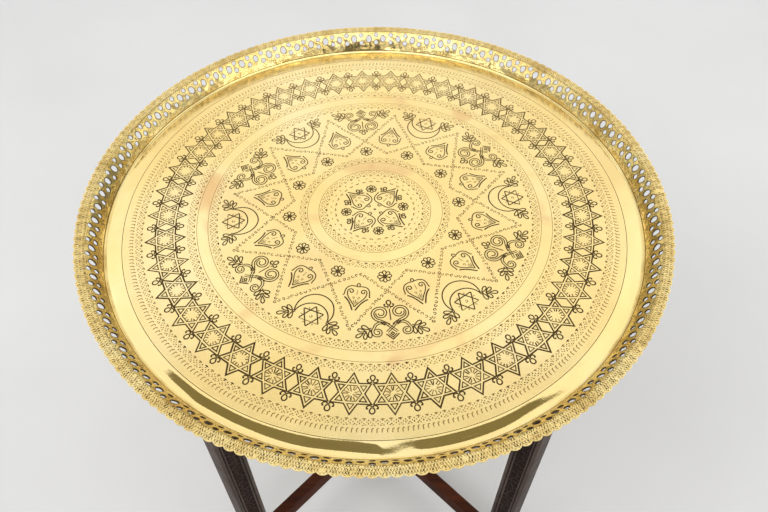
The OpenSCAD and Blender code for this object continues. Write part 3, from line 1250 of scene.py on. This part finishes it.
def aged_brass():
    s = Shader("aged_brass", metallic=1.0)
    cloud = s.noise(90.0, 4.0, 0.6)
    s.colour(s.ramp(cloud, [(0.3, (0.30, 0.19, 0.07)), (0.65, (0.66, 0.48, 0.20))]))
    s.roughness(s.grey(cloud, 0.50, 0.28))
    s.bump(s.noise(600.0, 3.0), 0.15, 0.0003)
    return s.material


def pale_floor():
    s = Shader("pale_floor", specular=0.2)
    s.roughness(0.8)
    s.colour(s.grey(s.noise(2.2, 3.0), 0.500, 0.530))
    return s.material


# ---- camera and studio
def facing(w, x, y, z):
    """How nearly a direction of the surroundings is the given one."""
    dot = w.node("ShaderNodeVectorMath", operation="DOT_PRODUCT")
    dot.inputs[1].default_value = Vector((x, y, z)).normalized()
    w.join(w.where, dot.inputs[0])
    return dot.outputs["Value"]


def surroundings():
    """Soft light from all round, uneven like a real room's."""
    world = bpy.data.worlds.new("studio")
    bpy.context.scene.world = world
    world.use_nodes = True
    w = Nodes(world.node_tree, "Generated")
    up = w.axis("Z")
    light = w.ramp(up, [(0.0, 0.58), (0.30, 0.92), (0.52, 1.08), (0.64, 1.10), (0.78, 1.15),
                        (1.0, 1.15)])
    uneven = w.grey(w.noise(5.0, 2.0), 0.9, 1.06, 0.35, 0.65)
    light = w.mix(w.grey(up, 0.0, 1.0, 0.25, 0.5), light, uneven, "MULTIPLY")
    # a dark beam across the ceiling, bowed towards the back
    beam = (0.20, 0.185, 0.115)
    bowed = w.math("MULTIPLY_ADD", w.math("ABSOLUTE", w.axis("X")), -0.16, w.axis("Y"))
    across = w.ramp(bowed, [(0.17, 1.0), (0.19, beam), (0.360, beam), (0.370, 1.0)])
    light = w.mix(w.grey(up, 0.0, 1.0, 0.70, 0.76), light, across, "MULTIPLY")
    # a dark shape and bright windows behind the viewer
    card = w.grey(facing(w, 0.07, -0.93, 0.34), 1.0, 0.10, 0.972, 0.980)
    light = w.mix(1.0, light, card, "MULTIPLY")
    windows = w.ramp(w.noise(9.0, 2.0), [(0.44, 0.16), (0.53, 0.42), (0.60, 1.0)])
    behind = w.grey(facing(w, 0.0, -0.9, 0.44), 0.0, 1.0, 0.45, 0.7)
    light = w.mix(behind, light, windows, "MULTIPLY")
    # a patchy room near the horizon, for the dents in the wall to pick up
    room = w.ramp(w.noise(3.6, 2.0), [(0.42, 0.45), (0.50, 1.0), (0.60, 1.9)])
    light = w.mix(w.grey(up, 0.9, 0.0, 0.36, 0.56), light, room, "MULTIPLY")
    around = w.tree.nodes["Background"]
    w.join(light, around.inputs["Color"])
    w.join(w.math("MULTIPLY_ADD", behind, 2.7, 1.0), around.inputs["Strength"])
    # seen directly, the backdrop is plain
    plain = w.node("ShaderNodeBackground", Color=(0.80, 0.80, 0.79, 1))
    seen = w.node("ShaderNodeMixShader")
    w.join(w.node("ShaderNodeLightPath").outputs["Is Camera Ray"], seen.inputs[0])
    w.join(around.outputs[0], seen.inputs[1])
    w.join(plain.outputs[0], seen.inputs[2])
    w.join(seen.outputs[0], w.tree.nodes["World Output"].inputs["Surface"])


def studio():
    """The camera, a pale floor and soft light."""
    camera_data = bpy.data.cameras.new("camera")
    camera = link(bpy.data.objects.new("camera", camera_data))
    bpy.context.scene.camera = camera
    camera_data.sensor_width = 36.0
    camera_data.lens = 33.78
    camera_data.clip_start = 0.05
    tray_r = 0.305  # the camera's place was worked out in tray radii
    floor_z = FLOOR_Z * MM
    camera.location = (0, -1.7176 * tray_r, floor_z + 1.8603 * tray_r)
    pitch, yaw = math.radians(51.0), math.radians(1.07)
    aim = Vector((math.sin(yaw) * math.cos(pitch), math.cos(yaw) * math.cos(pitch), -math.sin(pitch)))
    camera.rotation_euler = aim.to_track_quat("-Z", "Y").to_euler()

    reach = 40000  # past the edge of every view
    corners = [(-reach, -reach, 0), (reach, -reach, 0), (reach, reach, 0), (-reach, reach, 0)]
    ground = mesh_object("ground", corners, [(0, 1, 2, 3)], smooth=False)
    ground.data.materials.append(pale_floor())

    surroundings()
    for name, place_at, size, watts in (("key", (-1.6, -0.6, 2.4), 1.6, 26),
                                        ("fill", (1.9, 0.8, 2.0), 1.6, 12)):
        light = bpy.data.lights.new(name, "AREA")
        light.size = size
        light.energy = watts
        lamp = link(bpy.data.objects.new(name, light))
        lamp.location = place_at
        lamp.visible_glossy = False
        aim = Vector((0, 0, 0.5)) - Vector(place_at)
        lamp.rotation_euler = aim.to_track_quat("-Z", "Y").to_euler()
    bpy.context.scene.view_settings.view_transform = "Standard"


# ---- assembly
def main():
    # the second colour of each patina is painted light, for the paler grooves at the back
    dark = patina("engraved_patina_and_painted_light", (0.088, 0.056, 0.020), (0.27, 0.18, 0.070), 0.5)
    golden = patina("chased_patina_and_painted_light", (0.29, 0.18, 0.060), (0.47, 0.32, 0.125), 0.42)
    build_tray(polished_brass(), worn_brass(), dark, golden)

    leg_wood = stained_wood("leg_wood", (0.020, 0.013, 0.010), (0.078, 0.050, 0.038), shine=0.2)
    panel_wood = stained_wood("carved_wood", (0.006, 0.003, 0.002), (0.030, 0.015, 0.010))
    height = vine_relief()
    for name, azimuth in LEG_AZIMUTHS.items():
        build_leg(name, azimuth, height, leg_wood, panel_wood)

    for prefix, turn in (("inner", 45), ("outer", 135)):
        red = stained_wood(prefix + "_rail_wood", (0.016, 0.005, 0.003), (0.062, 0.018, 0.008), turn,
                           shine=0.05)
        for part in ("top_rail", "stretcher"):
            softened(f"{prefix}_{part}", 1.4, red)
        peg = stained_wood(prefix + "_peg_wood", (0.03, 0.016, 0.010), (0.09, 0.05, 0.03), turn + 90)
        softened(prefix + "_frame_pegs", 0.5, peg)

    metal = aged_brass()
    for end in ("top", "bottom"):
        for part in ("pivot_bolt", "spacer_washer", "nut_washer", "pivot_nut"):
            softened(f"{end}_{part}", 0.35, metal)
    studio()


main()
